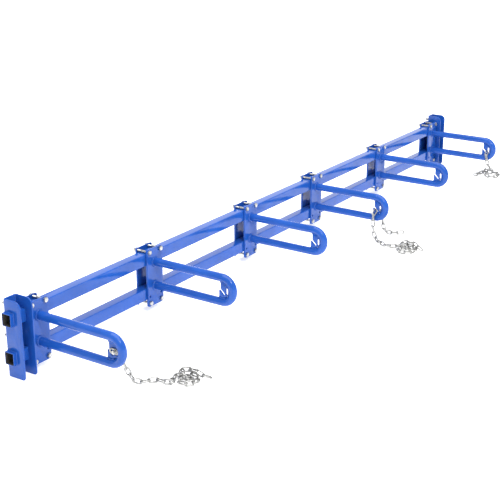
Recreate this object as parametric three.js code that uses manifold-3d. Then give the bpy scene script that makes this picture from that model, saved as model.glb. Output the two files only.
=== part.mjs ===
// Adjustable hook rack: two hollow steel rails welded into a pair of end brackets, and six
// bolted hooks that clamp round both rails. Millimetres, +Z up, +Y towards the wall.
// Inside the rack group X = 0 is the middle of the rails, Y = 0 their front face and
// Z = 0 the foot of the end brackets.
import * as THREE from 'three';
import { mergeVertices } from 'three/addons/utils/BufferGeometryUtils.js';
import Module from 'manifold-3d';

const wasm = await Module();
wasm.setup();

// ---- driving dimensions ----
const GAP = 0.3; // clearance between touching pieces

const RAIL_LENGTH = 2743.2;
const RAIL_HEIGHT = 38;
const RAIL_DEPTH = 33.5;
const RAIL_WALL = 2;
const RAIL_CORNER = 2.5;
const LOWER_RAIL_Z = 42; // underside of the lower rail
const RAIL_PITCH = 113; // lower rail to upper rail
const UPPER_RAIL_Z = LOWER_RAIL_Z + RAIL_PITCH;

const BRACKET_HEIGHT = 228.5;
const BRACKET_WIDTH = 48.5;
const BRACKET_WALL = 4.5;
const BRACKET_FRONT_Y = -25.5;
const BRACKET_BACK_Y = RAIL_DEPTH + GAP + BRACKET_WALL;
const BRACKET_TOP_CORNER = 20;
const BRACKET_FOOT_CORNER = 10;
const BRACKET_INSET = 11.9; // rail end to the bracket's outer face

const HOOK_X = [-1272.3, -763, -224.5, 228, 762, 1272.3];
const CLAMP_WIDTH = 76.2;
const CLAMP_FOOT_Z = 18;
const FRONT_CLAMP_TOP_Z = 206.5;
const FRONT_CLAMP_THICKNESS = 6;
const FRONT_CLAMP_CORNER = 8;
const BACK_CLAMP_TOP_Z = 204.5;
const BACK_CLAMP_DEPTH = 8.5;
const BACK_CLAMP_WALL = 4;
const FRONT_Y = -GAP - FRONT_CLAMP_THICKNESS;
const BACK_Y = RAIL_DEPTH + GAP + BACK_CLAMP_DEPTH;

const BOLT_SPACING = 54;
const BOLT_RADIUS = 4;
const BOLT_HOLE_RADIUS = BOLT_RADIUS + GAP;
const HEX_ACROSS_FLATS = 13;
const HEAD_HEIGHT = 5.3;
const NUT_HEIGHT = 6.5;
const THREAD_PROUD = 3;
const UPPER_BOLT_Z = UPPER_RAIL_Z + RAIL_HEIGHT + GAP + BOLT_RADIUS;
const LOWER_BOLT_Z = 29.5;
const SPARE_HOLE_Z = 51.5;
const SPARE_HOLE_RADIUS = 3;

const TUBE_RADIUS = 12.7;
const TUBE_WALL = 2.6;
const LOOP_REACH = 307.5; // clamp face to the outside of the bend
const LEG_PITCH = 78.2;
const LOWER_LEG_Z = 82.6;
const BEND_RADIUS = LEG_PITCH / 2;
const BEND_Y = FRONT_Y - LOOP_REACH + TUBE_RADIUS + BEND_RADIUS;
const BEND_Z = LOWER_LEG_Z + BEND_RADIUS;

const KEEPER_THICKNESS = 6;
const KEEPER_RADIUS = BEND_RADIUS - TUBE_RADIUS - GAP;
const KEEPER_UPPER_BACK = 5; // how far the plate reaches behind the bend's centre
const KEEPER_LOWER_BACK = 11;
const TOOTH_TIP = { ahead: -9.5, blunt: 2.5 };
const CHAIN_SLOT_WIDTH = 6;
const CHAIN_SLOT_END = { ahead: 7, up: -13 }; // the slot runs down to here at 45 degrees
const ANCHOR_SLOT_Y = 18; // ahead of the bend's centre
const ANCHOR_SLOT_LENGTH = 21;
const ANCHOR_SLOT_WIDTH = 7;

const WALL_BOLT_RADIUS = 5;
const WALL_BOLT_ACROSS_FLATS = 17;
const WALL_BOLT_HEAD = 6.4;
const WALL_BOLT_TIP_Y = 56;
const WALL_BOLT_X = 18; // bracket's left face to the bolts
const WALL_BOLT_Z = { upper: 208, middle: 113 };

const CHAIN_RADIUS = 7;
const CHAIN_SIDES = 8;
const CHAIN_STEP = 16;

// ---- materials ----
function finish(name, color, roughness, metalness) {
  return new THREE.MeshStandardMaterial({ name, color, roughness, metalness });
}
const coat = (name) => finish(name, 0x2d62d8, 0.22, 0.1);
const zinc = () => finish('zinc', 0xd4d3cb, 0.3, 0.9);
const steel = () => finish('chain', 0xc2c2bc, 0.35, 0.9);

// ---- solids ----
function solidOf(geometry) {
  const bare = geometry.index ? geometry.toNonIndexed() : geometry.clone();
  bare.deleteAttribute('normal');
  bare.deleteAttribute('uv');
  const merged = mergeVertices(bare, 1e-4);
  return new wasm.Manifold(new wasm.Mesh({
    numProp: 3,
    vertProperties: new Float32Array(merged.attributes.position.array),
    triVerts: new Uint32Array(merged.index.array),
  }));
}

function geometryOf(solid) {
  const mesh = solid.getMesh();
  const geometry = new THREE.BufferGeometry();
  geometry.setAttribute('position', new THREE.BufferAttribute(mesh.vertProperties, 3));
  geometry.setIndex(new THREE.BufferAttribute(mesh.triVerts, 1));
  return geometry;
}

function cut(body, tools) {
  return geometryOf(tools.reduce((left, tool) => left.subtract(solidOf(tool)), solidOf(body)));
}

// A prism whose outline lies in the XZ plane and which runs along +Y from y.
function prismAlongY(shape, y, length, curveSegments = 4) {
  const prism = new THREE.ExtrudeGeometry(shape, { depth: length, bevelEnabled: false, curveSegments });
  return prism.rotateX(Math.PI / 2).translate(0, y + length, 0);
}

// A prism whose outline lies in the YZ plane and which runs along +X from x.
function prismAlongX(shape, x, length, curveSegments = 4) {
  const prism = new THREE.ExtrudeGeometry(shape, { depth: length, bevelEnabled: false, curveSegments });
  return prism.rotateZ(Math.PI / 2).rotateY(Math.PI / 2).translate(x, 0, 0);
}

// A prism whose outline lies in the XY plane and which runs along +Z from z.
function prismAlongZ(shape, z, length) {
  return new THREE.ExtrudeGeometry(shape, { depth: length, bevelEnabled: false }).translate(0, 0, z);
}

// An outline from corner points, each with its own radius: [across, up, radius].
function roundedOutline(corners) {
  const shape = new THREE.Shape();
  corners.forEach(([a, b, radius = 0], i) => {
    const here = new THREE.Vector2(a, b);
    const before = new THREE.Vector2(...corners.at(i - 1).slice(0, 2));
    const after = new THREE.Vector2(...corners[(i + 1) % corners.length].slice(0, 2));
    const start = here.clone().add(before.sub(here).setLength(radius));
    const end = here.clone().add(after.sub(here).setLength(radius));
    if (i === 0) shape.moveTo(start.x, start.y);
    else shape.lineTo(start.x, start.y);
    if (radius > 0) shape.quadraticCurveTo(here.x, here.y, end.x, end.y);
  });
  shape.closePath();
  return shape;
}

function rectangle(left, right, bottom, top, radius = 0) {
  return roundedOutline([
    [left, bottom, radius], [right, bottom, radius], [right, top, radius], [left, top, radius],
  ]);
}

function hexagon(acrossFlats) {
  const radius = acrossFlats / Math.sqrt(3);
  const shape = new THREE.Shape();
  for (let i = 0; i < 6; i += 1) {
    const angle = ((i + 0.5) * Math.PI) / 3;
    shape[i ? 'lineTo' : 'moveTo'](radius * Math.cos(angle), radius * Math.sin(angle));
  }
  shape.closePath();
  return shape;
}

function hexAlongY(acrossFlats, x, y, z, height) {
  return prismAlongY(hexagon(acrossFlats), y, height).translate(x, 0, z);
}

function rodAlongY(radius, x, y, z, length, sides = 10) {
  return new THREE.CylinderGeometry(radius, radius, length, sides).translate(x, y + length / 2, z);
}

// ---- rails ----
function rail(z) {
  const half = RAIL_LENGTH / 2;
  const outline = rectangle(0, RAIL_DEPTH, z, z + RAIL_HEIGHT, RAIL_CORNER);
  const w = RAIL_WALL;
  outline.holes.push(rectangle(w, RAIL_DEPTH - w, z + w, z + RAIL_HEIGHT - w));
  return prismAlongX(outline, -half, RAIL_LENGTH, 3);
}

// ---- end brackets ----
// A channel with its web against the wall; both flanges have a square hole for each rail.
function endBracket(left) {
  const outside = prismAlongX(roundedOutline([
    [BRACKET_FRONT_Y, 0, BRACKET_FOOT_CORNER], [BRACKET_BACK_Y, 0],
    [BRACKET_BACK_Y, BRACKET_HEIGHT], [BRACKET_FRONT_Y, BRACKET_HEIGHT, BRACKET_TOP_CORNER],
  ]), left, BRACKET_WIDTH, 5);
  const over = 5;
  const tools = [prismAlongX(
    rectangle(BRACKET_FRONT_Y - over, BRACKET_BACK_Y - BRACKET_WALL, -over, BRACKET_HEIGHT + over),
    left + BRACKET_WALL,
    BRACKET_WIDTH - 2 * BRACKET_WALL,
  )];
  for (const z of [LOWER_RAIL_Z, UPPER_RAIL_Z]) {
    const hole = rectangle(-GAP, RAIL_DEPTH + GAP, z - GAP, z + RAIL_HEIGHT + GAP);
    tools.push(prismAlongX(hole, left - over, BRACKET_WIDTH + 2 * over));
  }
  for (const z of Object.values(WALL_BOLT_Z)) {
    tools.push(rodAlongY(WALL_BOLT_RADIUS + GAP, left + WALL_BOLT_X, RAIL_DEPTH - over, z, 4 * over));
  }
  return cut(outside, tools);
}

// ---- fasteners ----
function wallBolt(x, z) {
  const under = BRACKET_BACK_Y - BRACKET_WALL - GAP;
  const head = hexAlongY(WALL_BOLT_ACROSS_FLATS, x, under - WALL_BOLT_HEAD, z, WALL_BOLT_HEAD);
  const shank = rodAlongY(WALL_BOLT_RADIUS, x, under - 1, z, WALL_BOLT_TIP_Y - under + 1);
  return geometryOf(solidOf(head).add(solidOf(shank)));
}

function clampBolt(x, z) {
  const headY = FRONT_Y - GAP - HEAD_HEIGHT;
  const nutY = BACK_Y + GAP;
  const head = hexAlongY(HEX_ACROSS_FLATS, x, headY, z, HEAD_HEIGHT);
  const nut = hexAlongY(HEX_ACROSS_FLATS, x, nutY, z, NUT_HEIGHT);
  const shankY = headY + 1;
  const shank = rodAlongY(BOLT_RADIUS, x, shankY, z, nutY + NUT_HEIGHT + THREAD_PROUD - shankY);
  return geometryOf(solidOf(head).add(solidOf(shank)).add(solidOf(nut)));
}

function boltHoles(x, y, length) {
  return [-1, 1].flatMap((side) => [LOWER_BOLT_Z, UPPER_BOLT_Z].map(
    (z) => rodAlongY(BOLT_HOLE_RADIUS, x + (side * BOLT_SPACING) / 2, y, z, length),
  ));
}

// ---- hooks ----
// A flat plate across both rails, with a bolt hole at each corner and a pair of spare holes.
function frontClamp(x) {
  const half = CLAMP_WIDTH / 2;
  const outline = rectangle(x - half, x + half, CLAMP_FOOT_Z, FRONT_CLAMP_TOP_Z, FRONT_CLAMP_CORNER);
  const plate = prismAlongY(outline, FRONT_Y, FRONT_CLAMP_THICKNESS);
  const holeY = FRONT_Y - 1;
  const holeLength = FRONT_CLAMP_THICKNESS + 2;
  const spares = [-1, 1].map((side) => rodAlongY(
    SPARE_HOLE_RADIUS, x + (side * BOLT_SPACING) / 2, holeY, SPARE_HOLE_Z, holeLength, 8,
  ));
  return cut(plate, [...boltHoles(x, holeY, holeLength), ...spares]);
}

// A channel across both rails' backs; the tips of its flanges press on the rails.
function backClamp(x) {
  const half = CLAMP_WIDTH / 2;
  const inner = half - BACK_CLAMP_WALL;
  const tipY = RAIL_DEPTH + GAP;
  const innerY = BACK_Y - BACK_CLAMP_WALL;
  const outline = roundedOutline([
    [x - half, tipY], [x - inner, tipY], [x - inner, innerY], [x + inner, innerY],
    [x + inner, tipY], [x + half, tipY], [x + half, BACK_Y], [x - half, BACK_Y],
  ]);
  const channel = prismAlongZ(outline, CLAMP_FOOT_Z, BACK_CLAMP_TOP_Z - CLAMP_FOOT_Z);
  return cut(channel, boltHoles(x, innerY - 1, BACK_CLAMP_WALL + 2));
}

// A leg, a half-circle bend and a leg, with most of its samples on the bend.
class LoopPath extends THREE.Curve {
  getPoint(t) {
    const leg = 1 / LoopPath.steps;
    const run = FRONT_Y - GAP - BEND_Y;
    if (t <= leg) return new THREE.Vector3(0, BEND_Y + run * (1 - t / leg), BEND_Z + BEND_RADIUS);
    if (t >= 1 - leg) return new THREE.Vector3(0, BEND_Y + run * (1 - (1 - t) / leg), BEND_Z - BEND_RADIUS);
    const angle = (Math.PI * (t - leg)) / (1 - 2 * leg);
    const y = BEND_Y - BEND_RADIUS * Math.sin(angle);
    return new THREE.Vector3(0, y, BEND_Z + BEND_RADIUS * Math.cos(angle));
  }

  getPointAt(t) {
    return this.getPoint(t);
  }

  getTangentAt(t) {
    const leg = 1 / LoopPath.steps;
    const angle = Math.PI * THREE.MathUtils.clamp((t - leg) / (1 - 2 * leg), 0, 1);
    return new THREE.Vector3(0, -Math.cos(angle), -Math.sin(angle));
  }
}
LoopPath.steps = 14;

function circle(radius, sides) {
  const points = Array.from({ length: sides }, (_, i) => {
    const angle = (2 * Math.PI * i) / sides;
    return new THREE.Vector2(radius * Math.cos(angle), radius * Math.sin(angle));
  });
  return new THREE.Shape(points);
}

function hookLoop(x) {
  const section = circle(TUBE_RADIUS, 14);
  section.holes.push(circle(TUBE_RADIUS - TUBE_WALL, 8));
  const tube = new THREE.ExtrudeGeometry(section, { steps: LoopPath.steps, extrudePath: new LoopPath() });
  return tube.translate(x, 0, 0);
}

// A plate that fills the bend: a slanting open slot takes a chain link, a closed slot an anchor.
// Its outline is drawn with `ahead` positive towards the tip of the loop.
function keeperPlate(x) {
  const at = (ahead, up) => [BEND_Y - ahead, BEND_Z + up];
  const shape = new THREE.Shape();
  const topAngle = Math.acos(-KEEPER_UPPER_BACK / KEEPER_RADIUS);
  const footAngle = Math.acos(-KEEPER_LOWER_BACK / KEEPER_RADIUS);
  const arcPoints = 14;
  for (let i = 0; i <= arcPoints; i += 1) {
    const angle = THREE.MathUtils.lerp(topAngle, -footAngle, i / arcPoints);
    shape[i ? 'lineTo' : 'moveTo'](...at(KEEPER_RADIUS * Math.cos(angle), KEEPER_RADIUS * Math.sin(angle)));
  }
  // The open slot's two edges climb backwards at 45 degrees from its round end.
  const edge = CHAIN_SLOT_WIDTH / 2 / Math.SQRT2;
  const { ahead: endAhead, up: endUp } = CHAIN_SLOT_END;
  const climb = (offset, ahead) => endUp + endAhead + 2 * offset - ahead;
  const tipUp = climb(-edge, TOOTH_TIP.ahead);
  shape.lineTo(...at(-KEEPER_LOWER_BACK, tipUp - TOOTH_TIP.blunt));
  shape.lineTo(...at(TOOTH_TIP.ahead, tipUp));
  const endPoints = 6;
  for (let i = 0; i <= endPoints; i += 1) {
    const turn = Math.PI * (1.25 + i / endPoints);
    const reach = CHAIN_SLOT_WIDTH / 2;
    shape.lineTo(...at(endAhead + reach * Math.cos(turn), endUp + reach * Math.sin(turn)));
  }
  shape.lineTo(...at(-KEEPER_UPPER_BACK, climb(edge, -KEEPER_UPPER_BACK)));
  shape.closePath();
  const halfLength = (ANCHOR_SLOT_LENGTH - ANCHOR_SLOT_WIDTH) / 2;
  const slot = new THREE.Path();
  for (let i = 0; i < 12; i += 1) {
    const angle = (2 * Math.PI * (i + 0.5)) / 12;
    const up = (ANCHOR_SLOT_WIDTH / 2) * Math.sin(angle) + Math.sign(Math.sin(angle)) * halfLength - 2;
    const ahead = ANCHOR_SLOT_Y + (ANCHOR_SLOT_WIDTH / 2) * Math.cos(angle);
    slot[i ? 'lineTo' : 'moveTo'](...at(ahead, up));
  }
  slot.closePath();
  shape.holes.push(slot);
  return prismAlongX(shape, x - KEEPER_THICKNESS / 2, KEEPER_THICKNESS);
}

// ---- chains ----
// Each chain is a plain tube where its links lie. A route is listed from the hook outwards:
// [X from the hook's middle, Y from the bend's centre (negative is ahead), Z].
const CHAIN_ROUTES = {
  hooked_chain_1: { hook: 0, points: [
    [4, -9, 112], [13, -9, 111], [22, -12, 98], [27, -16, 80], [36, -18, 58], [46, -21, 36], [55, -24, 19],
    [64, -32, 9], [77, -42, 9], [92, -51, 9], [105, -63, 9], [107, -81, 9], [106, -98, 9], [116, -110, 9],
    [136, -96, 9], [160, -94, 9], [180, -106, 9], [188, -126, 9], [182, -148, 9], [164, -160, 9],
    [142, -158, 9], [126, -144, 9], [126, -126, 9], [138, -114, 9], [156, -112, 9], [168, -124, 9],
    [164, -140, 9], [148, -142, 12], [140, -132, 20], [144, -118, 25], [160, -108, 27], [176, -118, 26],
    [178, -138, 26], [178, -156, 25], [184, -171, 13], [196, -180, 9],
  ] },
  hooked_chain_4: { hook: 3, points: [
    [-4, -2, 112], [-13, -2, 111], [-21, 0, 98], [-22, 0, 80], [-22, 0, 60], [-21, -2, 40], [-24, -9, 22],
    [-34, -24, 9], [-50, -44, 9], [-62, -64, 9], [-68, -86, 9], [-65, -104, 9], [-52, -119, 9],
    [-34, -130, 9], [-22, -146, 9], [-24, -168, 9], [-38, -184, 9], [-60, -192, 9], [-82, -188, 9],
    [-98, -174, 9], [-102, -154, 9], [-90, -139, 9], [-70, -137, 9], [-52, -143, 9], [-44, -156, 9],
    [-52, -170, 9], [-70, -172, 12], [-80, -162, 20], [-76, -148, 25], [-60, -140, 26], [-40, -146, 25],
    [-32, -164, 25], [-36, -184, 24], [-42, -202, 12], [-45, -214, 9],
  ] },
  anchored_chain_4: { hook: 3, points: [
    [4, -14, 113], [13, -14, 112], [21, -16, 98], [22, -18, 78], [23, -19, 58], [28, -20, 40], [40, -22, 24],
    [58, -28, 12], [76, -40, 9], [90, -56, 9], [100, -68, 9],
  ] },
  anchored_chain_6: { hook: 5, points: [
    [-4, -14, 113], [-13, -14, 112], [-21, -16, 98], [-22, -20, 80], [-18, -26, 60], [-10, -32, 46],
    [-2, -36, 32], [12, -38, 26], [24, -28, 26], [24, -10, 26], [10, -2, 25], [-8, -8, 22], [-24, -22, 12],
    [-32, -40, 9], [-24, -58, 9], [-4, -68, 9], [18, -66, 9], [36, -54, 9], [44, -34, 9], [42, -12, 9],
    [30, 8, 9], [10, 17, 9], [-10, 16, 9], [-28, 18, 9], [-42, 24, 9],
  ] },
};

function chainTube({ hook, points }) {
  const path = new THREE.CatmullRomCurve3(
    points.map(([x, y, z]) => new THREE.Vector3(HOOK_X[hook] + x, BEND_Y + y, z)),
  );
  const steps = Math.ceil(path.getLength() / CHAIN_STEP);
  return new THREE.ExtrudeGeometry(circle(CHAIN_RADIUS, CHAIN_SIDES), { steps, extrudePath: path });
}

// ---- assembly ----
const rack = new THREE.Group();
rack.name = 'rack';
// The part's origin is the middle of its foot print, so Y runs from the loops to the bolt tips.
rack.position.y = -(BEND_Y - BEND_RADIUS - TUBE_RADIUS + WALL_BOLT_TIP_Y) / 2;

function addPiece(name, geometry, material) {
  const mesh = new THREE.Mesh(geometry, material);
  mesh.name = name;
  rack.add(mesh);
}

addPiece('upper_rail', rail(UPPER_RAIL_Z), coat('rail_coat'));
addPiece('lower_rail', rail(LOWER_RAIL_Z), coat('rail_coat'));

const BRACKET_LEFTS = {
  left: -RAIL_LENGTH / 2 + BRACKET_INSET,
  right: RAIL_LENGTH / 2 - BRACKET_INSET - BRACKET_WIDTH,
};
for (const [end, x] of Object.entries(BRACKET_LEFTS)) {
  addPiece(`${end}_end_bracket`, endBracket(x), coat('bracket_coat'));
  for (const [level, z] of Object.entries(WALL_BOLT_Z)) {
    addPiece(`${end}_wall_bolt_${level}`, wallBolt(x + WALL_BOLT_X, z), zinc());
  }
}

HOOK_X.forEach((x, i) => {
  const hook = `hook_${i + 1}`;
  addPiece(`${hook}_front_clamp`, frontClamp(x), coat('clamp_coat'));
  addPiece(`${hook}_back_clamp`, backClamp(x), coat('clamp_coat'));
  addPiece(`${hook}_loop`, hookLoop(x), coat('loop_coat'));
  addPiece(`${hook}_keeper_plate`, keeperPlate(x), coat('loop_coat'));
  for (const [side, sign] of [['left', -1], ['right', 1]]) {
    for (const [level, z] of [['upper', UPPER_BOLT_Z], ['lower', LOWER_BOLT_Z]]) {
      addPiece(`${hook}_bolt_${level}_${side}`, clampBolt(x + (sign * BOLT_SPACING) / 2, z), zinc());
    }
  }
});

for (const [name, route] of Object.entries(CHAIN_ROUTES)) addPiece(name, chainTube(route), steel());

export default rack;
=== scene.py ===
"""Looks of the two-rail hook rack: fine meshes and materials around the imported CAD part.

Lengths inside the mesh code are millimetres in the row frame; piece() turns them into metres.
"""

import math

import bmesh
import bpy
from mathutils import Matrix, Vector, noise
from mathutils.geometry import tessellate_polygon


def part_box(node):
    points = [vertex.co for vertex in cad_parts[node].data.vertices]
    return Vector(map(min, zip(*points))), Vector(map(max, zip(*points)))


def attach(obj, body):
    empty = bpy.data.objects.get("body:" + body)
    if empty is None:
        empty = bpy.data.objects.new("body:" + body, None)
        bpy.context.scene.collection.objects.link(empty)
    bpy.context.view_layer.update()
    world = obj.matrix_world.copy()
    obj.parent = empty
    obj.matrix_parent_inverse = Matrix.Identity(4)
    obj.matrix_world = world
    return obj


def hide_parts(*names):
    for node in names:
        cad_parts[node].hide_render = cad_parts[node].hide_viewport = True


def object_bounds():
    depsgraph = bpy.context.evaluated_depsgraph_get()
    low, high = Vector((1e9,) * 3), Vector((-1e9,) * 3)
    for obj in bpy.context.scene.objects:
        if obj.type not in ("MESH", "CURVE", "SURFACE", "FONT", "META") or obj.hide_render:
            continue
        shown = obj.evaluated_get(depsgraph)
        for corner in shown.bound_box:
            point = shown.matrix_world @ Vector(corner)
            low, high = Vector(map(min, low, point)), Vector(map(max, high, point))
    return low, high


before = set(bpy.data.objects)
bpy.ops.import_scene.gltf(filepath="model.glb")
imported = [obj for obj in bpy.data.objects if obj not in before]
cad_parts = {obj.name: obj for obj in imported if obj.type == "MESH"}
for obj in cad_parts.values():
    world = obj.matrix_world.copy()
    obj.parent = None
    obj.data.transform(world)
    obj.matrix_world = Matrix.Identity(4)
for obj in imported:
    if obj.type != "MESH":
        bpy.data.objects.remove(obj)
cad_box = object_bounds()

MM = 0.001
UP = Vector((0, 0, 1))
HOOKS = range(1, 7)


def box(node):
    """Lowest and highest corner of a CAD node, in millimetres."""
    low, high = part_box(node)
    return low / MM, high / MM


# ---- driving dimensions, in millimetres ----
GAP = 0.3  # the clearance that the CAD parts keep
RAIL_WALL = 2
RAIL_CORNER = 2.5
RAIL_BORE_CORNER = 1.2
RAIL_RIM = 0.4  # the broken edge of the sawn ends
BRACKET_SHEET = 4.5
BRACKET_BEND = 2  # inner radius of the folds
BRACKET_EDGE = 1.2  # rounding of the sheet's edges
BRACKET_TOP_CORNER = 20
BRACKET_FOOT_CORNER = 10
RAIL_HOLE_CORNER = 2.5
RAIL_HOLE_SHORTFALL = 0.6  # at the rear, where a rail's hole runs into the fold
FRONT_CLAMP_THICKNESS = 6
FRONT_CLAMP_EDGE = 0.8
FRONT_CLAMP_CORNER = 8
BACK_CLAMP_SHEET = 4
BACK_CLAMP_BEND = 1
BACK_CLAMP_EDGE = 0.9
BACK_CLAMP_CORNER = 3
CLAMP_HOLE_RADIUS = 4.5
SPARE_HOLE_RADIUS = 3.8
BOLT_SPACING = 54
SPARE_HOLE_LIFT = 33.5  # clamp foot to the spare holes
TUBE_RADIUS = 12.7
TUBE_WALL = 2.6
KEEPER_THICKNESS = 6
KEEPER_EDGE = 1.0
OPEN_SLOT_WIDTH = 6
CLOSED_SLOT_AHEAD = 18  # from the centre of the loop's bend to the slot's middle
CLOSED_SLOT_DROP = 2
CLOSED_SLOT_STRAIGHT = 14  # between the centres of its round ends
CLOSED_SLOT_RADIUS = 3.5
M6_RADIUS = 3
M6_PITCH = 1.0
M6_ACROSS_FLATS = 10
M6_WASHER_RADIUS = 6.2
M8_RADIUS = 4
M8_PITCH = 1.25
M8_ACROSS_FLATS = 13
M8_HEAD_HEIGHT = 5.3
M8_NUT_HEIGHT = 6.5
M8_WASHER_RADIUS = 8.2
M8_WASHER_CLEARANCE = 0.2
M10_RADIUS = 5
M10_PITCH = 1.5
M10_ACROSS_FLATS = 16
M10_WASHER_RADIUS = 8.8
NUT_THREAD_DEPTH = 0.4  # how far a nut's bore lies inside its screw's outside
LINK_WIRE_RADIUS = 2.5
LINK_LENGTH = 33
LINK_WIDTH = 17.6
LINK_PITCH = LINK_LENGTH - 4 * LINK_WIRE_RADIUS


# ---- camera ----
CAMERA_AT = (-3.2381, -1.8855, 1.3264)
CAMERA_AZIMUTH, CAMERA_ELEVATION, CAMERA_ROLL = -56.264, 19.581, -0.122  # degrees
CAMERA_LENS = 78.37  # on a 36 mm sensor


def make_camera():
    """The view along the rack from its left end, from in front and above."""
    azimuth, elevation, roll = map(math.radians, (CAMERA_AZIMUTH, CAMERA_ELEVATION, CAMERA_ROLL))
    back = Vector((math.sin(azimuth) * math.cos(elevation), -math.cos(azimuth) * math.cos(elevation),
                   math.sin(elevation)))
    level = UP.cross(back).normalized()
    lift = back.cross(level)
    right = math.cos(roll) * level + math.sin(roll) * lift
    up = back.cross(right)
    data = bpy.data.cameras.new("camera")
    data.lens = CAMERA_LENS
    data.sensor_width = 36
    data.clip_start = 0.05
    data.clip_end = 100
    camera = bpy.data.objects.new("camera", data)
    turn = Matrix((right, up, back)).transposed().to_4x4()
    camera.matrix_world = Matrix.Translation(CAMERA_AT) @ turn
    bpy.context.scene.collection.objects.link(camera)
    bpy.context.scene.camera = camera


make_camera()
bpy.context.scene.view_settings.view_transform = "Standard"


# ---- materials ----
def node_material(name):
    """A material, its Principled shader, and functions that add a node and link it to the shader."""
    material = bpy.data.materials.new(name)
    material.use_nodes = True
    tree = material.node_tree
    shader = tree.nodes["Principled BSDF"]

    def add(kind, inputs=()):
        node = tree.nodes.new(kind)
        for key, value in dict(inputs).items():
            if isinstance(value, bpy.types.NodeSocket):
                tree.links.new(value, node.inputs[key])
            else:
                node.inputs[key].default_value = value
        return node

    def link(socket, key):
        tree.links.new(socket, shader.inputs[key])

    return material, shader, add, link


def object_noise(add, scale, detail):
    """Noise that is fixed to the piece, scale cells to the metre."""
    place = add("ShaderNodeTexCoord").outputs["Object"]
    return add("ShaderNodeTexNoise", {"Vector": place, "Scale": scale, "Detail": detail}).outputs["Fac"]


def ramp(add, fac, low, high, dark, light):
    """A colour between dark at low and light at high."""
    node = add("ShaderNodeValToRGB", {"Fac": fac})
    node.color_ramp.elements[0].position = low
    node.color_ramp.elements[0].color = (*dark, 1)
    node.color_ramp.elements[1].position = high
    node.color_ramp.elements[1].color = (*light, 1)
    return node.outputs["Color"]


def spread(add, fac, low, high):
    """Maps a noise value onto the range low to high."""
    span = {"From Min": 0.3, "From Max": 0.7, "To Min": low, "To Max": high}
    return add("ShaderNodeMapRange", {"Value": fac, **span}).outputs["Result"]


def relief(add, height, strength, distance, under=None):
    """The normal of a bumpy surface, on top of the relief under it where there is one."""
    inputs = {"Height": height, "Strength": strength, "Distance": distance}
    if under is not None:
        inputs["Normal"] = under
    return add("ShaderNodeBump", inputs).outputs["Normal"]


def blue_coat():
    """Gloss powder coat: orange peel over a faint wave, uneven depth of colour and duller patches."""
    material, shader, add, link = node_material("blue_coat")
    cloud = object_noise(add, 14, 4)
    link(ramp(add, cloud, 0.35, 0.68, (0.010, 0.069, 0.335), (0.014, 0.085, 0.40)), "Base Color")
    link(spread(add, object_noise(add, 60, 5), 0.07, 0.14), "Roughness")
    peel = relief(add, object_noise(add, 420, 1), 0.05, 0.0004)
    link(relief(add, object_noise(add, 60, 1), 0.03, 0.002, peel), "Normal")
    shader.inputs["Specular IOR Level"].default_value = 0.26
    shader.inputs["Coat Weight"].default_value = 0.1
    shader.inputs["Coat Roughness"].default_value = 0.05
    return material


def zinc_plate():
    """Bright zinc on forged bolts, with slight clouding and fine forge texture."""
    material, shader, add, link = node_material("zinc_plate")
    cloud = object_noise(add, 160, 3)
    link(ramp(add, cloud, 0.35, 0.7, (0.38, 0.38, 0.355), (0.62, 0.61, 0.575)), "Base Color")
    shader.inputs["Metallic"].default_value = 0.9
    link(spread(add, object_noise(add, 500, 2), 0.24, 0.42), "Roughness")
    link(relief(add, object_noise(add, 900, 2), 0.12, 0.0004), "Normal")
    return material


def chain_zinc():
    """Duller, blotchy zinc on chain wire."""
    material, shader, add, link = node_material("chain_zinc")
    cloud = object_noise(add, 120, 4)
    link(ramp(add, cloud, 0.3, 0.7, (0.22, 0.22, 0.215), (0.50, 0.50, 0.49)), "Base Color")
    shader.inputs["Metallic"].default_value = 0.85
    link(spread(add, object_noise(add, 300, 3), 0.30, 0.50), "Roughness")
    link(relief(add, object_noise(add, 700, 3), 0.18, 0.0005), "Normal")
    return material


def bare_bore():
    """The uncoated inside of the rails: rough, dark mill scale, a little brown in places."""
    material, shader, add, link = node_material("bare_bore")
    cloud = object_noise(add, 45, 6)
    link(ramp(add, cloud, 0.35, 0.7, (0.030, 0.028, 0.030), (0.075, 0.068, 0.066)), "Base Color")
    shader.inputs["Metallic"].default_value = 0.2
    link(spread(add, object_noise(add, 150, 3), 0.65, 0.9), "Roughness")
    link(relief(add, object_noise(add, 350, 4), 0.3, 0.001), "Normal")
    return material


BLUE = blue_coat()
ZINC = zinc_plate()
CHAIN = chain_zinc()
BORE = bare_bore()


# ---- mesh building ----
def piece(name, mesh_build, material, body, stands_for=(), sharp=33, extra=()):
    """Turns a bmesh in millimetres into a named piece that rides on a CAD body."""
    bmesh.ops.scale(mesh_build, vec=(MM, MM, MM), verts=mesh_build.verts)
    bmesh.ops.recalc_face_normals(mesh_build, faces=mesh_build.faces)
    mesh = bpy.data.meshes.new(name)
    mesh_build.to_mesh(mesh)
    mesh_build.free()
    for used in (material, *extra):
        mesh.materials.append(used)
    mesh.shade_smooth()
    mesh.set_sharp_from_angle(angle=math.radians(sharp))
    obj = bpy.data.objects.new(name, mesh)
    bpy.context.scene.collection.objects.link(obj)
    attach(obj, body)
    if stands_for:
        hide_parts(*stands_for)
    return obj


def skin(build, rings, loop=False, caps=False, slot_index=0):
    """Joins closed rings of points with quads. loop joins the last ring to the first, caps fills both."""
    rows = [[build.verts.new(p) for p in ring] for ring in rings]
    count = len(rows[0])
    pairs = list(zip(rows, rows[1:])) + ([(rows[-1], rows[0])] if loop else [])
    for a, b in pairs:
        for i in range(count):
            j = (i + 1) % count
            build.faces.new((a[i], a[j], b[j], b[i])).material_index = slot_index
    if caps:
        build.faces.new(rows[0])
        build.faces.new(rows[-1])
    return rows


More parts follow.
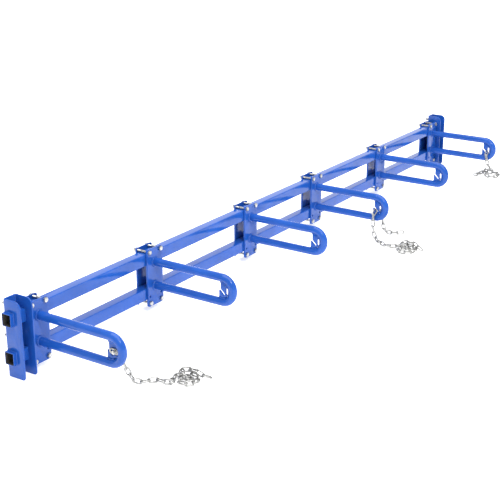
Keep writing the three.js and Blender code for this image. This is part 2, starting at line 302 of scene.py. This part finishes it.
def close_ends(build, outer, inner):
    """The two end faces of a hollow bar, between its outer and its inner skin."""
    for a, b in ((outer[0], inner[0]), (outer[-1], inner[-1])):
        for i in range(len(a)):
            j = (i + 1) % len(a)
            build.faces.new((a[i], a[j], b[j], b[i]))


def rounded(corners, steps=6):
    """An outline from [a, b, radius] corners, each rounded with a true arc."""
    points = []
    for i, (a, b, radius) in enumerate(corners):
        here = Vector((a, b))
        before = (Vector(corners[i - 1][:2]) - here).normalized()
        after = (Vector(corners[(i + 1) % len(corners)][:2]) - here).normalized()
        if radius <= 0:
            points.append(here)
            continue
        half = before.angle(after) / 2
        centre = here + (before + after).normalized() * radius / math.sin(half)
        start = here + before * radius / math.tan(half) - centre
        turn = start.angle_signed(here + after * radius / math.tan(half) - centre)
        for k in range(steps + 1):
            angle = -turn * k / steps
            points.append(centre + Matrix.Rotation(angle, 2) @ start)
    return points


def circle(a, b, radius, sides=24):
    """An outline round (a, b)."""
    return [Vector((a + radius * math.cos(t), b + radius * math.sin(t)))
            for t in (2 * math.pi * i / sides for i in range(sides))]


def wound(loop, positive=True):
    """The loop, turned round if need be, so that its area has the wanted sign."""
    area = sum(p.cross(q) for p, q in zip(loop, loop[1:] + loop[:1]))
    return loop if (area > 0) == positive else loop[::-1]


def inset(loop, distance):
    """Every point moved to the left of its direction of travel."""
    moved = []
    for i, here in enumerate(loop):
        into = (here - loop[i - 1]).normalized()
        out = (loop[(i + 1) % len(loop)] - here).normalized()
        left_in, left_out = Vector((-into.y, into.x)), Vector((-out.y, out.x))
        moved.append(here + (left_in + left_out) * distance / (1 + left_in.dot(left_out)))
    return moved


def plate(build, outline, holes, thickness, edge, edge_steps=3):
    """A flat plate in the AB plane, centred on C = 0, with all its edges and holes rounded over."""
    loops = [wound(outline)] + [wound(hole, False) for hole in holes]
    layers = []
    for k in range(edge_steps + 1):
        turn = math.pi / 2 * k / edge_steps
        layers.append((edge * (1 - math.sin(turn)), thickness / 2 - edge * (1 - math.cos(turn))))
    layers += [(pull, -c) for pull, c in reversed(layers)]
    stacks = [skin(build, [[(*p, c) for p in inset(loop, pull)] for pull, c in layers]) for loop in loops]
    for end in (0, -1):
        rows = [stack[end] for stack in stacks]
        flat = [vert for row in rows for vert in row]
        for triangle in tessellate_polygon([[Vector((*v.co.xy, 0)) for v in row] for row in rows]):
            build.faces.new([flat[i] for i in triangle])
    return build


def folded_channel(outline, holes, sheet, bend, width, edge, fold_steps=6):
    """A channel folded from a flat pattern: A runs round the section from the middle of the web, B along
    it. The result has the web's outer face on Y = 0, its flanges towards -Y and its length along Z."""
    hair = 1e-5
    middle = bend + sheet / 2  # radius of the fold's middle line
    web_half = width / 2 - middle - sheet / 2
    fold = middle * math.pi / 2
    build = plate(bmesh.new(), outline, holes, sheet, edge)
    for side in (-1, 1):
        for k in range(fold_steps + 1):
            bmesh.ops.bisect_plane(build, geom=build.verts[:] + build.edges[:] + build.faces[:],
                                   plane_co=(side * (web_half + fold * k / fold_steps), 0, 0),
                                   plane_no=(1, 0, 0), dist=hair)
    for vert in build.verts:
        a, b, c = vert.co
        side, run = math.copysign(1, a), abs(a)
        if run <= web_half:
            across, depth = run, c
        elif run <= web_half + fold:
            turn = (run - web_half) / middle
            across = web_half + (middle - c) * math.sin(turn)
            depth = middle - (middle - c) * math.cos(turn)
        else:
            across, depth = web_half + middle - c, middle + run - web_half - fold
        vert.co = (side * across, -(depth + sheet / 2), b)
    return build


def pattern_place(width, sheet, bend, depth):
    """Where a point of a flange, depth behind the web's outer face, lies on the flat pattern."""
    middle = bend + sheet / 2
    return width / 2 - middle - sheet / 2 + middle * math.pi / 2 + depth - sheet / 2 - middle


def transport(path, closed=False):
    """Centre, side and up vectors that turn as little as possible along a path."""
    count = len(path)
    frames, side = [], None
    for i, here in enumerate(path):
        before = path[i - 1] if closed or i else here
        after = path[(i + 1) % count] if closed or i < count - 1 else here
        along = (after - before).normalized()
        if side is None:
            side = along.orthogonal().normalized()
        side = (side - along * side.dot(along)).normalized()
        frames.append((here, side, along.cross(side)))
    return frames


def ring_round(centre, side, up, radius, sides):
    """A circle of points in the plane of side and up."""
    return [centre + side * radius * math.cos(t) + up * radius * math.sin(t)
            for t in (2 * math.pi * i / sides for i in range(sides))]


def weld_bead(build, path, radius, closed=True, sides=8):
    """A run of weld metal: a rope that swells with each ripple and wanders slowly in size."""
    ripple, ripple_share = 3.0, 0.09
    wander_rate, wander_share = 0.11, 0.10
    travelled, rings = 0.0, []
    for i, (centre, side, up) in enumerate(transport(path, closed)):
        travelled += (centre - path[i - 1]).length if i else 0.0
        swell = 1 + ripple_share * math.sin(2 * math.pi * travelled / ripple)
        wander = 1 + wander_share * noise.noise(centre * wander_rate)
        rings.append(ring_round(centre, side, up, radius * swell * wander, sides))
    skin(build, rings, loop=closed, caps=not closed)


def even_points(path, step, closed=False):
    """The path resampled to points about step apart."""
    points = list(path) + ([path[0]] if closed else [])
    lengths = [0.0]
    for a, b in zip(points, points[1:]):
        lengths.append(lengths[-1] + (b - a).length)
    count = max(2, round(lengths[-1] / step))
    found, k = [], 0
    for i in range(count if closed else count + 1):
        target = lengths[-1] * i / count
        while k < len(points) - 2 and lengths[k + 1] < target:
            k += 1
        share = (target - lengths[k]) / (lengths[k + 1] - lengths[k])
        found.append(points[k].lerp(points[k + 1], share))
    return found


# ---- chains ----
# The routes repeat part.mjs, from the hook outwards: X from the hook's middle, Y from the centre of the
# loop's bend, and Z from the foot of the rack.
CHAIN_ROUTES = {
    "hooked_chain_1": (1, [
        (4, -9, 112), (13, -9, 111), (22, -12, 98), (27, -16, 80), (36, -18, 58), (46, -21, 36),
        (55, -24, 19), (64, -32, 9), (77, -42, 9), (92, -51, 9), (105, -63, 9), (107, -81, 9),
        (106, -98, 9), (116, -110, 9), (136, -96, 9), (160, -94, 9), (180, -106, 9), (188, -126, 9),
        (182, -148, 9), (164, -160, 9), (142, -158, 9), (126, -144, 9), (126, -126, 9),
        (138, -114, 9), (156, -112, 9), (168, -124, 9), (164, -140, 9), (148, -142, 12),
        (140, -132, 20), (144, -118, 25), (160, -108, 27), (176, -118, 26), (178, -138, 26),
        (178, -156, 25), (184, -171, 13), (196, -180, 9)]),
    "hooked_chain_4": (4, [
        (-4, -2, 112), (-13, -2, 111), (-21, 0, 98), (-22, 0, 80), (-22, 0, 60), (-21, -2, 40),
        (-24, -9, 22), (-34, -24, 9), (-50, -44, 9), (-62, -64, 9), (-68, -86, 9), (-65, -104, 9),
        (-52, -119, 9), (-34, -130, 9), (-22, -146, 9), (-24, -168, 9), (-38, -184, 9),
        (-60, -192, 9), (-82, -188, 9), (-98, -174, 9), (-102, -154, 9), (-90, -139, 9),
        (-70, -137, 9), (-52, -143, 9), (-44, -156, 9), (-52, -170, 9), (-70, -172, 12),
        (-80, -162, 20), (-76, -148, 25), (-60, -140, 26), (-40, -146, 25), (-32, -164, 25),
        (-36, -184, 24), (-42, -202, 12), (-45, -214, 9)]),
    "anchored_chain_4": (4, [
        (4, -14, 113), (13, -14, 112), (21, -16, 98), (22, -18, 78), (23, -19, 58), (28, -20, 40),
        (40, -22, 24), (58, -28, 12), (76, -40, 9), (90, -56, 9), (100, -68, 9)]),
    "anchored_chain_6": (6, [
        (-4, -14, 113), (-13, -14, 112), (-21, -16, 98), (-22, -20, 80), (-18, -26, 60),
        (-10, -32, 46), (-2, -36, 32), (12, -38, 26), (24, -28, 26), (24, -10, 26), (10, -2, 25),
        (-8, -8, 22), (-24, -22, 12), (-32, -40, 9), (-24, -58, 9), (-4, -68, 9), (18, -66, 9),
        (36, -54, 9), (44, -34, 9), (42, -12, 9), (30, 8, 9), (10, 17, 9), (-10, 16, 9),
        (-28, 18, 9), (-42, 24, 9)]),
}


def loop_bend(hook):
    """X of a hook's loop, and Y and Z of its bend's centre."""
    low, high = box(f"hook_{hook}_loop")
    half = (high.z - low.z) / 2
    return Vector(((low.x + high.x) / 2, low.y + half, (low.z + high.z) / 2))


def smooth_route(points, per_span=12):
    """A centripetal Catmull-Rom curve through the points."""
    ends = [points[0] * 2 - points[1], *points, points[-1] * 2 - points[-2]]
    found = []
    for p0, p1, p2, p3 in zip(ends, ends[1:], ends[2:], ends[3:]):
        t1 = (p1 - p0).length ** 0.5
        t2 = t1 + (p2 - p1).length ** 0.5
        t3 = t2 + (p3 - p2).length ** 0.5
        for k in range(per_span):
            t = t1 + (t2 - t1) * k / per_span
            a1 = p0.lerp(p1, t / t1)
            a2 = p1.lerp(p2, (t - t1) / (t2 - t1))
            a3 = p2.lerp(p3, (t - t2) / (t3 - t2))
            b1 = a1.lerp(a2, t / t2)
            b2 = a2.lerp(a3, (t - t1) / (t3 - t1))
            found.append(b1.lerp(b2, (t - t1) / (t2 - t1)))
    return found + [points[-1]]


def chain_link(build, centre, along, flat, wire_sides=8):
    """One link: an oval of round wire in the plane of along and flat, with a butt weld on one side."""
    bend = LINK_WIDTH / 2 - LINK_WIRE_RADIUS
    straight = LINK_LENGTH / 2 - LINK_WIDTH / 2
    normal = along.cross(flat)
    weld_swell = 1.14
    steps = 6  # in the half turn at each end
    spots = [(straight, -90 + 180 * k / steps) for k in range(steps + 1)]
    spots.append((0, 90))
    spots += [(-straight, 90 + 180 * k / steps) for k in range(steps + 1)]
    rings = []
    for offset, degrees in spots:
        turn = math.radians(degrees)
        outward = along * math.cos(turn) + flat * math.sin(turn)
        middle = centre + along * offset + outward * bend
        wire = LINK_WIRE_RADIUS * (weld_swell if offset == 0 else 1.0)
        rings.append(ring_round(middle, outward, normal, wire, wire_sides))
    skin(build, rings, loop=True)


def make_chain(name, hook, route):
    """Links along the route, each a quarter turn from the last and leaning a little its own way."""
    steep_from = 0.7  # upward share of its direction from which a stretch counts as hanging
    most_lean, lean_rate = 14, 0.37  # in degrees, and how fast it changes along the chain
    route_step = 6
    bend = loop_bend(hook)
    points = [Vector((bend.x + x, bend.y + y, z)) for x, y, z in route]
    path = smooth_route(points)
    joints = even_points(path, LINK_PITCH)
    build = bmesh.new()
    side = None
    for i, (a, b) in enumerate(zip(joints, joints[1:])):
        along = (b - a).normalized()
        if side is None:
            side = along.orthogonal().normalized()
        elif abs(along.z) > steep_from:
            side = (side - along * side.dot(along)).normalized()
        else:
            side = UP.cross(along).normalized()
        lean = math.radians((90 if i % 2 else 0) + most_lean * noise.noise(a * lean_rate))
        flat = side * math.cos(lean) + along.cross(side) * math.sin(lean)
        chain_link(build, (a + b) / 2, along, flat)
    low = min(v.co.z for v in build.verts)
    if low < 0:
        bmesh.ops.translate(build, vec=(0, 0, -low), verts=build.verts)
    chain = piece(f"{name}_links", build, CHAIN, f"hook_{hook}", [name], sharp=60)
    [p * MM for p in even_points(path, route_step)]


for chain_name, (chain_hook, chain_route) in CHAIN_ROUTES.items():
    make_chain(chain_name, chain_hook, chain_route)


# ---- rails ----
def make_rail(name):
    """A hollow rail, built in short spans, with broken edges at its ends and an uncoated bore."""
    low, high = box(name)

    def section(pull, radius):
        a0, a1, b0, b1 = low.y + pull, high.y - pull, low.z + pull, high.z - pull
        return rounded([(a0, b0, radius), (a1, b0, radius), (a1, b1, radius), (a0, b1, radius)])

    def station(x, outline):
        return [(x, p.x, p.y) for p in outline]

    outside = section(0, RAIL_CORNER)
    rim = section(RAIL_RIM, RAIL_CORNER - RAIL_RIM)
    bore = section(RAIL_WALL, RAIL_BORE_CORNER)
    spans = 24
    middle = [low.x + RAIL_RIM + (high.x - low.x - 2 * RAIL_RIM) * k / spans for k in range(spans + 1)]
    rings = [station(low.x, rim), *(station(x, outside) for x in middle), station(high.x, rim)]
    build = bmesh.new()
    outer = skin(build, rings)
    inner = skin(build, [station(low.x, bore), station(high.x, bore)], slot_index=1)
    close_ends(build, outer, inner)
    piece(f"{name}_tube", build, BLUE, "frame", [name], extra=(BORE,))


for rail_name in ("upper_rail", "lower_rail"):
    make_rail(rail_name)


# ---- end brackets ----
def make_bracket(end):
    """A folded channel with holes for the rails and the wall bolts, and the rails' welds."""
    node = f"{end}_end_bracket"
    low, high = box(node)
    width, back = high.x - low.x, high.y
    tip = pattern_place(width, BRACKET_SHEET, BRACKET_BEND, back - low.y)
    outline = rounded([(-tip, low.z, BRACKET_FOOT_CORNER), (tip, low.z, BRACKET_FOOT_CORNER),
                       (tip, high.z, BRACKET_TOP_CORNER), (-tip, high.z, BRACKET_TOP_CORNER)], steps=10)
    holes = []
    for rail in ("upper_rail", "lower_rail"):
        rail_low, rail_high = box(rail)
        front = pattern_place(width, BRACKET_SHEET, BRACKET_BEND, back - rail_low.y + GAP)
        rear = pattern_place(width, BRACKET_SHEET, BRACKET_BEND, back - rail_high.y + RAIL_HOLE_SHORTFALL)
        for side in (-1, 1):
            a0, a1 = sorted((side * front, side * rear))
            b0, b1 = rail_low.z - GAP, rail_high.z + GAP
            corners = ((a0, b0), (a1, b0), (a1, b1), (a0, b1))
            holes.append(rounded([(a, b, RAIL_HOLE_CORNER) for a, b in corners], steps=4))
    for level in ("upper", "middle"):
        bolt_low, bolt_high = box(f"{end}_wall_bolt_{level}")
        across = (bolt_low.x + bolt_high.x) / 2 - (low.x + high.x) / 2
        holes.append(circle(across, (bolt_low.z + bolt_high.z) / 2, M10_RADIUS + GAP))
    build = folded_channel(outline, holes, BRACKET_SHEET, BRACKET_BEND, width, BRACKET_EDGE)
    bmesh.ops.translate(build, vec=((low.x + high.x) / 2, back, 0), verts=build.verts)
    piece(f"{node}_channel", build, BLUE, "frame", [node])

    outer_radius, outer_stand = 1.7, 0.4  # the beads on the bracket's outer side, and how far off it
    inner_radius, inner_sink = 1.1, 0.5  # those on the side towards the hooks, and how far into it
    if end == "left":
        outside, inside = low.x - outer_stand, high.x - inner_sink
    else:
        outside, inside = high.x + outer_stand, low.x + inner_sink
    bead_step = 1.0
    welds = bmesh.new()
    for rail in ("upper_rail", "lower_rail"):
        rail_low, rail_high = box(rail)
        a0, a1, b0, b1 = rail_low.y, rail_high.y, rail_low.z, rail_high.z
        corners = ((a0, b0), (a1, b0), (a1, b1), (a0, b1))
        ring = rounded([(a, b, RAIL_CORNER) for a, b in corners])
        for x, radius in ((outside, outer_radius), (inside, inner_radius)):
            path = even_points([Vector((x, p.x, p.y)) for p in ring], bead_step, closed=True)
            weld_bead(welds, path, radius)
    piece(f"{node}_welds", welds, BLUE, "frame", sharp=60)


for bracket_end in ("left", "right"):
    make_bracket(bracket_end)


# ---- fasteners ----
def hex_block(build, x, z, across, y0, y1, turn, chamfer=(True, True), hollow=0.0):
    """A bolt head or nut along Y, its corners cut back by a 30 degree cone at the chamfered ends."""
    sides = 36
    face = 0.475 * across  # radius of the flat inside the chamfer
    angles = [2 * math.pi * i / sides for i in range(sides)]
    reach = [across / 2 / math.cos((t + math.pi / 6) % (math.pi / 3) - math.pi / 6) for t in angles]
    drop = [(r - face) * math.tan(math.radians(30)) for r in reach]

    def ring(radii, ys):
        return [(x + r * math.cos(t + turn), y, z + r * math.sin(t + turn))
                for r, t, y in zip(radii, angles, ys)]

    rings = []
    if chamfer[0]:
        rings += [ring([face] * sides, [y0] * sides), ring(reach, [y0 + d for d in drop])]
    else:
        rings.append(ring(reach, [y0] * sides))
    if chamfer[1]:
        rings += [ring(reach, [y1 - d for d in drop]), ring([face] * sides, [y1] * sides)]
    else:
        rings.append(ring(reach, [y1] * sides))
    if hollow:
        rings += [ring([hollow] * sides, [y1] * sides), ring([hollow] * sides, [y0] * sides)]
        skin(build, rings, loop=True)
    else:
        skin(build, rings, caps=True)


def threaded_rod(build, x, z, radius, y0, thread_from, y1, pitch, sides=16):
    """A plain shank that becomes a real helical thread, with a chamfered tip. y0 is below y1."""
    run_out = 0.8  # from the shank's end to the first full thread
    tip_length, tip_cut = 1, 1.3
    steps_per_turn = 4
    angles = [2 * math.pi * i / sides for i in range(sides)]
    depth = 0.55 * pitch

    def ring(y, threaded, radius_now):
        points = []
        for t in angles:
            phase = (y / pitch + t / (2 * math.pi)) % 1.0
            cut = depth * (1 - abs(2 * phase - 1)) if threaded else 0.0
            points.append((x + (radius_now - cut) * math.cos(t), y, z + (radius_now - cut) * math.sin(t)))
        return points

    rings = [ring(y0, False, radius), ring(thread_from - run_out, False, radius)]
    length = y1 - tip_length - thread_from
    steps = max(2, math.ceil(length / (pitch / steps_per_turn)))
    rings += [ring(thread_from + length * k / steps, True, radius) for k in range(steps + 1)]
    rings.append(ring(y1, False, radius - tip_cut))
    skin(build, rings, caps=True)


def washer(build, x, z, inner, outer, y0, y1):
    """A flat ring along Y with its outer edges chamfered."""
    rim = 0.25
    sides = 32
    spots = [(inner, y0), (outer - rim, y0), (outer, y0 + rim)]
    spots += [(outer, y1 - rim), (outer - rim, y1), (inner, y1)]
    skin(build, [[(x + p.x, y, z + p.y) for p in circle(0, 0, r, sides)] for r, y in spots], loop=True)


def make_clamp_bolt(hook, name, order):
    """A screw through both clamps, with a nut and a washer behind, each turned its own way."""
    node = f"hook_{hook}_{name}"
    low, high = box(node)
    x, z = (low.x + high.x) / 2, (low.z + high.z) / 2
    screw_turn = math.radians(37 * (order + hook))
    nut_turn = screw_turn * 1.7
    under_head = low.y + M8_HEAD_HEIGHT
    shank_from = under_head - 0.5
    back = box(f"hook_{hook}_back_clamp")[1].y
    thread_from = back - 16
    nut_from = back + 1.7
    nut_to = nut_from + M8_NUT_HEIGHT
    screw = bmesh.new()
    hex_block(screw, x, z, M8_ACROSS_FLATS, low.y, under_head, screw_turn, (True, False))
    threaded_rod(screw, x, z, M8_RADIUS, shank_from, thread_from, high.y, M8_PITCH)
    piece(f"{node}_screw", screw, ZINC, f"hook_{hook}", [node])
    nut = bmesh.new()
    bore = M8_RADIUS - NUT_THREAD_DEPTH
    hex_block(nut, x, z, M8_ACROSS_FLATS, nut_from, nut_to, nut_turn, hollow=bore)
    piece(f"{node}_nut", nut, ZINC, f"hook_{hook}")
    ring = bmesh.new()
    hole = M8_RADIUS + M8_WASHER_CLEARANCE
    washer_from, washer_to = back + 0.1, nut_from - 0.05
    washer(ring, x, z, hole, M8_WASHER_RADIUS, washer_from, washer_to)
    piece(f"{node}_washer", ring, ZINC, f"hook_{hook}")


def make_wall_bolt(end, level):
    """A screw through the bracket's web into the wall, its head and washer inside the channel."""
    node = f"{end}_wall_bolt_{level}"
    low, high = box(node)
    x, z = (low.x + high.x) / 2, (low.z + high.z) / 2
    web = box(f"{end}_end_bracket")[1].y - BRACKET_SHEET
    head_back = web - 1.6
    shank_from = web - 2
    thread_from = web + 6
    washer_from, washer_to = web - 1.7, web - 0.1
    build = bmesh.new()
    hex_block(build, x, z, M10_ACROSS_FLATS, low.y, head_back, 0, (True, False))
    threaded_rod(build, x, z, M10_RADIUS, shank_from, thread_from, high.y, M10_PITCH)
    washer(build, x, z, M10_RADIUS, M10_WASHER_RADIUS, washer_from, washer_to)
    piece(f"{node}_screw", build, ZINC, "frame", [node])


for bolt_hook in HOOKS:
    bolt_names = [f"bolt_{level}_{side}" for side in ("left", "right") for level in ("upper", "lower")]
    for bolt_order, bolt_name in enumerate(bolt_names):
        make_clamp_bolt(bolt_hook, bolt_name, bolt_order)
for bolt_end in ("left", "right"):
    for bolt_level in ("upper", "middle"):
        make_wall_bolt(bolt_end, bolt_level)


# ---- hooks ----
def clamp_holes(hook, middle):
    """The four bolt holes of a clamp, measured across from its middle line."""
    holes = []
    for side in ("left", "right"):
        for level in ("upper", "lower"):
            bolt_low, bolt_high = box(f"hook_{hook}_bolt_{level}_{side}")
            across = (bolt_low.x + bolt_high.x) / 2 - middle
            holes.append(circle(across, (bolt_low.z + bolt_high.z) / 2, CLAMP_HOLE_RADIUS))
    return holes


def make_front_clamp(hook):
    """A flat plate with four bolt holes and two spare ones."""
    node = f"hook_{hook}_front_clamp"
    low, high = box(node)
    half, middle = (high.x - low.x) / 2, (low.x + high.x) / 2
    corner = FRONT_CLAMP_CORNER
    outline = rounded([(-half, low.z, corner), (half, low.z, corner),
                       (half, high.z, corner), (-half, high.z, corner)])
    holes = clamp_holes(hook, middle)
    for side in (-1, 1):
        holes.append(circle(side * BOLT_SPACING / 2, low.z + SPARE_HOLE_LIFT, SPARE_HOLE_RADIUS))
    build = plate(bmesh.new(), outline, holes, FRONT_CLAMP_THICKNESS, FRONT_CLAMP_EDGE)
    for vert in build.verts:
        across, up, depth = vert.co
        vert.co = (middle + across, (low.y + high.y) / 2 + depth, up)
    piece(f"{node}_plate", build, BLUE, f"hook_{hook}", [node])


def make_back_clamp(hook):
    """A shallow channel whose flanges bear on the rails' backs."""
    node = f"hook_{hook}_back_clamp"
    low, high = box(node)
    width, depth, middle = high.x - low.x, high.y - low.y, (low.x + high.x) / 2
    tip = pattern_place(width, BACK_CLAMP_SHEET, BACK_CLAMP_BEND, depth)
    corner = BACK_CLAMP_CORNER
    outline = rounded([(-tip, low.z, corner), (tip, low.z, corner),
                       (tip, high.z, corner), (-tip, high.z, corner)])
    holes = clamp_holes(hook, middle)
    build = folded_channel(outline, holes, BACK_CLAMP_SHEET, BACK_CLAMP_BEND, width, BACK_CLAMP_EDGE)
    bmesh.ops.translate(build, vec=(middle, high.y, 0), verts=build.verts)
    piece(f"{node}_channel", build, BLUE, f"hook_{hook}", [node])


def make_loop(hook):
    """A tube bent into a U that lies on its side, with a ring of weld round each foot."""
    node = f"hook_{hook}_loop"
    low, high = box(node)
    bend = loop_bend(hook)
    across = Vector((1, 0, 0))
    bend_radius = (high.z - low.z) / 2 - TUBE_RADIUS
    leg_end = high.y + GAP / 2
    bend_steps, leg_steps = 40, 12
    path = [Vector((bend.x, leg_end + (bend.y - leg_end) * k / leg_steps, bend.z + bend_radius))
            for k in range(leg_steps)]
    for k in range(bend_steps + 1):
        turn = math.pi * k / bend_steps
        path.append(bend + Vector((0, -bend_radius * math.sin(turn), bend_radius * math.cos(turn))))
    path += [Vector((p.x, p.y, 2 * bend.z - p.z)) for p in reversed(path[:leg_steps])]
    frames = []
    for i, here in enumerate(path):
        along = (path[min(i + 1, len(path) - 1)] - path[max(i - 1, 0)]).normalized()
        frames.append((here, across, along.cross(across)))
    sides = 48
    build = bmesh.new()
    outer = skin(build, [ring_round(*frame_here, TUBE_RADIUS, sides) for frame_here in frames])
    bore_radius = TUBE_RADIUS - TUBE_WALL
    inner = skin(build, [ring_round(*frame_here, bore_radius, sides) for frame_here in frames])
    close_ends(build, outer, inner)
    piece(f"{node}_tube", build, BLUE, f"hook_{hook}", [node])

    bead_radius, bead_stand, bead_step = 3.9, 0.6, 0.9
    welds = bmesh.new()
    for height in (bend.z + bend_radius, bend.z - bend_radius):
        foot = Vector((bend.x, leg_end, height))
        ring = [foot + Vector((p.x, 0, p.y)) for p in circle(0, 0, TUBE_RADIUS + bead_stand, sides=96)]
        weld_bead(welds, even_points(ring, bead_step, closed=True), bead_radius, sides=12)
    piece(f"{node}_welds", welds, BLUE, f"hook_{hook}", sharp=60)


def make_keeper(hook):
    """The plate in the bend, drawn as (ahead of the bend's centre, up from it): round the bend from the
    upper arm to the lower one, then in and out of the open slot, which slants at 45 degrees."""
    node = f"hook_{hook}_keeper_plate"
    low, high = box(node)
    bend = loop_bend(hook)
    radius = bend.z - low.z
    upper_back, lower_back = 5.0, high.y - bend.y  # how far each arm reaches behind the centre
    top, foot = math.acos(-upper_back / radius), math.acos(-lower_back / radius)
    arc_steps = 32
    outline = [Vector((radius * math.cos(t), radius * math.sin(t)))
               for t in (top - (top + foot) * k / arc_steps for k in range(arc_steps + 1))]
    half = OPEN_SLOT_WIDTH / 2
    end = Vector((7, -13))  # centre of the open slot's round end
    edge = half / math.sqrt(2)
    tip_back, tip_drop = 9.5, 2.5  # the lower arm's tip, and its end's fall behind the tip
    tip = Vector((-tip_back, end.x + end.y - 2 * edge + tip_back))
    outline += [Vector((-lower_back, tip.y - tip_drop)), tip]
    end_steps = 10  # in a half turn
    outline += [end + half * Vector((math.cos(t), math.sin(t)))
                for t in (math.pi * (1.25 + k / end_steps) for k in range(end_steps + 1))]
    outline.append(Vector((-upper_back, end.x + end.y + 2 * edge + upper_back)))
    closed_slot = []
    for k in range(2 * end_steps):
        t = math.pi * (k + 0.5) / end_steps
        rise = CLOSED_SLOT_RADIUS * math.sin(t) + math.copysign(CLOSED_SLOT_STRAIGHT / 2, math.sin(t))
        closed_slot.append(Vector((CLOSED_SLOT_AHEAD + CLOSED_SLOT_RADIUS * math.cos(t),
                                   rise - CLOSED_SLOT_DROP)))
    build = plate(bmesh.new(), outline, [closed_slot], KEEPER_THICKNESS, KEEPER_EDGE)
    for vert in build.verts:
        ahead, up, across = vert.co
        vert.co = (bend.x + across, bend.y - ahead, bend.z + up)
    piece(f"{node}_steel", build, BLUE, f"hook_{hook}", [node])

    runs = ((top, top - 0.9), (0.55, -0.35), (-1.05, -foot))  # angles round the bend, in radians
    bead_radius, bead_step = 2.4, 0.9
    reach = radius - 0.2
    stand = KEEPER_THICKNESS / 2 + 0.6
    welds = bmesh.new()
    for side in (-1, 1):
        for first, last in runs:
            count = max(8, round(abs(last - first) * radius / bead_step))
            path = []
            for k in range(count + 1):
                t = first + (last - first) * k / count
                place = (bend.x + side * stand, bend.y - reach * math.cos(t), bend.z + reach * math.sin(t))
                path.append(Vector(place))
            weld_bead(welds, path, bead_radius, closed=False)
    piece(f"{node}_welds", welds, BLUE, f"hook_{hook}", sharp=60)


def make_anchor_bolt(hook):
    """The small bolt through the closed slot that holds a spare link against the keeper's left face.
    It is built along Y, as depth behind that face, and then turned to lie along X."""
    face = box(f"hook_{hook}_keeper_plate")[0].x
    at = loop_bend(hook) + Vector((0, -CLOSED_SLOT_AHEAD, 1))
    link_centre = Vector((face - 2.6, at.y + 3, at.z))
    link = bmesh.new()
    chain_link(link, link_centre, Vector((0, 1, 0)), UP, wire_sides=12)
    piece(f"hook_{hook}_anchor_link", link, CHAIN, f"hook_{hook}")

    nut = (-11.8, -6.6)
    left_washer = (-6.5, -5.2)
    right_washer = (KEEPER_THICKNESS + 0.1, KEEPER_THICKNESS + 1.4)
    head = (KEEPER_THICKNESS + 1.5, KEEPER_THICKNESS + 5.5)
    nut_turn, head_turn = 0.2, 0.7
    build = bmesh.new()
    hex_block(build, 0, 0, M6_ACROSS_FLATS, *nut, nut_turn, hollow=M6_RADIUS - NUT_THREAD_DEPTH)
    washer(build, 0, 0, M6_RADIUS, M6_WASHER_RADIUS, *left_washer)
    washer(build, 0, 0, M6_RADIUS, M6_WASHER_RADIUS, *right_washer)
    hex_block(build, 0, 0, M6_ACROSS_FLATS, *head, head_turn, (False, True))

    # The rod rises from the head to its tip, and is mirrored because the tip is on the left.
    shank_from, thread_from, tip = -KEEPER_THICKNESS - 2, 0, 14
    screw = bmesh.new()
    threaded_rod(screw, 0, 0, M6_RADIUS, shank_from, thread_from, tip, M6_PITCH)
    bmesh.ops.scale(screw, vec=(1, -1, 1), verts=screw.verts)
    screw_mesh = bpy.data.meshes.new("screw")
    screw.to_mesh(screw_mesh)
    screw.free()
    build.from_mesh(screw_mesh)
    bpy.data.meshes.remove(screw_mesh)
    for vert in build.verts:
        across, along, up = vert.co
        vert.co = (face + along, at.y - across, at.z + up)
    piece(f"hook_{hook}_anchor_bolt", build, ZINC, f"hook_{hook}")


for hook_number in HOOKS:
    make_front_clamp(hook_number)
    make_back_clamp(hook_number)
    make_loop(hook_number)
    make_keeper(hook_number)
make_anchor_bolt(1)


# ---- stage and light ----
def make_stage():
    """A white floor that lights itself a little, so that shadows on it stay faint."""
    half, clearance = 30, 0.0005  # in metres
    corners = [(-half, -half, 0), (half, -half, 0), (half, half, 0), (-half, half, 0)]
    mesh = bpy.data.meshes.new("floor")
    mesh.from_pydata(corners, [], [(0, 1, 2, 3)])
    floor = bpy.data.objects.new("floor", mesh)
    floor.location.z = cad_box[0].z - clearance
    material, shader, add, link = node_material("floor_white")
    cloud = object_noise(add, 0.8, 2)
    link(ramp(add, cloud, 0.3, 0.7, (0.95, 0.95, 0.95), (0.97, 0.97, 0.97)), "Base Color")
    shader.inputs["Roughness"].default_value = 0.9
    shader.inputs["Emission Color"].default_value = (1, 1, 1, 1)
    shader.inputs["Emission Strength"].default_value = 0.5
    mesh.materials.append(material)
    bpy.context.scene.collection.objects.link(floor)


def area_light(name, at, aim, size, power):
    """A square white light; at, aim and size are in metres, power in watts."""
    data = bpy.data.lights.new(name, "AREA")
    data.shape = "SQUARE"
    data.size = size
    data.energy = power
    light = bpy.data.objects.new(name, data)
    light.location = at
    light.rotation_euler = (Vector(aim) - Vector(at)).to_track_quat("-Z", "Y").to_euler()
    bpy.context.scene.collection.objects.link(light)


def make_light():
    """An even sky, a broad ceiling, a softbox behind and a small key that draws the highlights."""
    world = bpy.data.worlds.new("studio")
    world.use_nodes = True
    sky = world.node_tree.nodes["Background"]
    sky.inputs["Color"].default_value = (1, 1, 1, 1)
    sky.inputs["Strength"].default_value = 0.7
    bpy.context.scene.world = world
    area_light("ceiling", (-0.5, -1.0, 5.0), (-0.5, -1.0, 0), 6.0, 370)
    area_light("back_softbox", (6.0, 4.0, 2.8), (0, 0, 0), 5.0, 60)
    area_light("key", (-2.6, -3.2, 3.6), (-0.6, 0, 0), 1.0, 95)


make_stage()
make_light()
